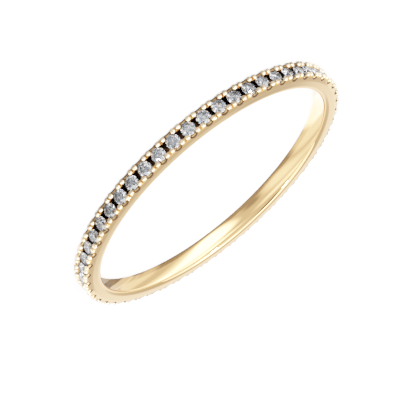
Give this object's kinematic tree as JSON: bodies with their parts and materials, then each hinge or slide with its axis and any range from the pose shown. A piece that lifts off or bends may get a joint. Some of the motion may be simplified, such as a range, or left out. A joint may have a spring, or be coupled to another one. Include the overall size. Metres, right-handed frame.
{
  "type": "eternity ring",
  "caption": "Narrow polished gold ring with a full row of small round brilliants, each held by beads between notched channel walls.",
  "frame": {"origin": "on the axis of the finger bore, in the plane of the side face that the ring lies on", "axes": "+Z along the finger bore, out of the side face that lies up; +X through the middle of a stone"},
  "size_m": [0.0194, 0.0194, 0.0013],
  "materials": {
    "gold": "polished",
    "diamond": "faceted and polished"
  },
  "bodies": {
    "root": {"band": "gold", "stones": "diamond"}
  },
  "joints": []
}
